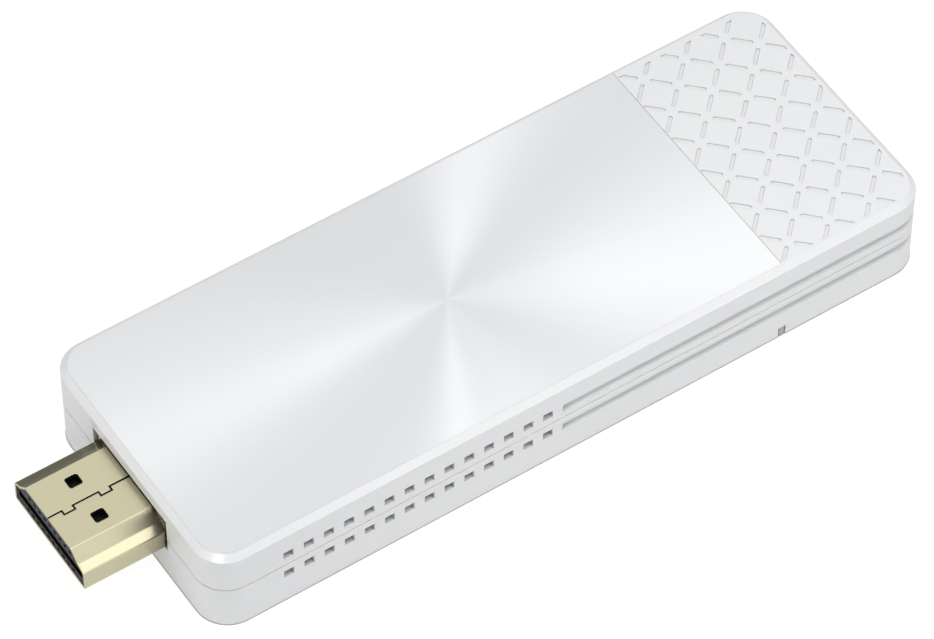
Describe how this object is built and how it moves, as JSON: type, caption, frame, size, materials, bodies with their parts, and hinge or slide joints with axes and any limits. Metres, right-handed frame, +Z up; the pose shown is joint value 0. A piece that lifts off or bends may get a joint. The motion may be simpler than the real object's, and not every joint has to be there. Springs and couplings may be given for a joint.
{
  "type": "wireless display dongle",
  "caption": "Flat stick-shaped wireless display dongle: two-shell casing with a spun-finish trim plate, diamond-slotted antenna end, side vents, metal display plug and reset button.",
  "frame": {"origin": "centre of the casing's flat underside", "axes": "+X along the stick, away from the display plug; +Y across it; +Z up through the spun-finish top plate"},
  "size_m": [0.0988, 0.0326, 0.0115],
  "materials": {
    "casing": "fine satin, moulded white",
    "trim": "spun rays, white anodised",
    "adhesive": "matt",
    "key_rubber": "moulded, grey, matt",
    "plug_metal": "pale gold plated, smooth",
    "tinned_steel": "tin plated, dull",
    "dark_plastic": "moulded, dark grey",
    "contact_metal": "gold plated",
    "board": "green solder mask",
    "screw_steel": "zinc plated",
    "chip": "moulded black",
    "thermal_pad": "soft, matt",
    "bare_aluminium": "rolled sheet",
    "ferrite": "matt sintered",
    "ceramic": "fired ceramic, tinned ends",
    "button": "satin, moulded white",
    "lamp": "clear epoxy",
    "light_guide": "clear moulded"
  },
  "bodies": {
    "dongle": {"upper_shell": "casing", "lower_shell": "casing", "notch_key": "key_rubber", "top_plate": "trim", "plate_adhesive": "adhesive", "plug_shell": "plug_metal", "plug_back_shell": "tinned_steel", "plug_insulator": "dark_plastic", "plug_upper_contacts": "contact_metal", "plug_lower_contacts": "contact_metal", "main_board": "board", "board_screws": "screw_steel", "processor": "chip", "memory_chips": "chip", "shield_frame": "tinned_steel", "shield_lid": "tinned_steel", "thermal_pad": "thermal_pad", "heat_spreader": "bare_aluminium", "surge_arrays": "chip", "crystal": "tinned_steel", "radio_board": "board", "radio_can": "tinned_steel", "main_antenna": "contact_metal", "second_antenna": "contact_metal", "flash_chip": "chip", "power_inductors": "ferrite", "power_chip": "chip", "capacitors": "ceramic", "power_inlet_shell": "tinned_steel", "power_inlet_tongue": "dark_plastic", "power_inlet_contacts": "contact_metal", "switch_body": "dark_plastic", "switch_dome": "tinned_steel", "status_led": "lamp", "light_pipe": "light_guide"},
    "button": {"reset_button": "button"},
    "stem": {"switch_stem": "button"}
  },
  "joints": [
    {"name": "reset_press", "type": "slide", "parent": "dongle", "child": "button", "axis": [-1, 0, 0], "range_m": [0, 0.00025], "stiffness_N_per_m": 4000},
    {"name": "stem_press", "type": "slide", "parent": "dongle", "child": "stem", "axis": [-1, 0, 0], "range_m": [0, 0.00025], "deforming": ["switch_dome"]}
  ],
  "couplings": [
    {"joint": "stem_press", "follows": "reset_press", "ratio": 1}
  ]
}
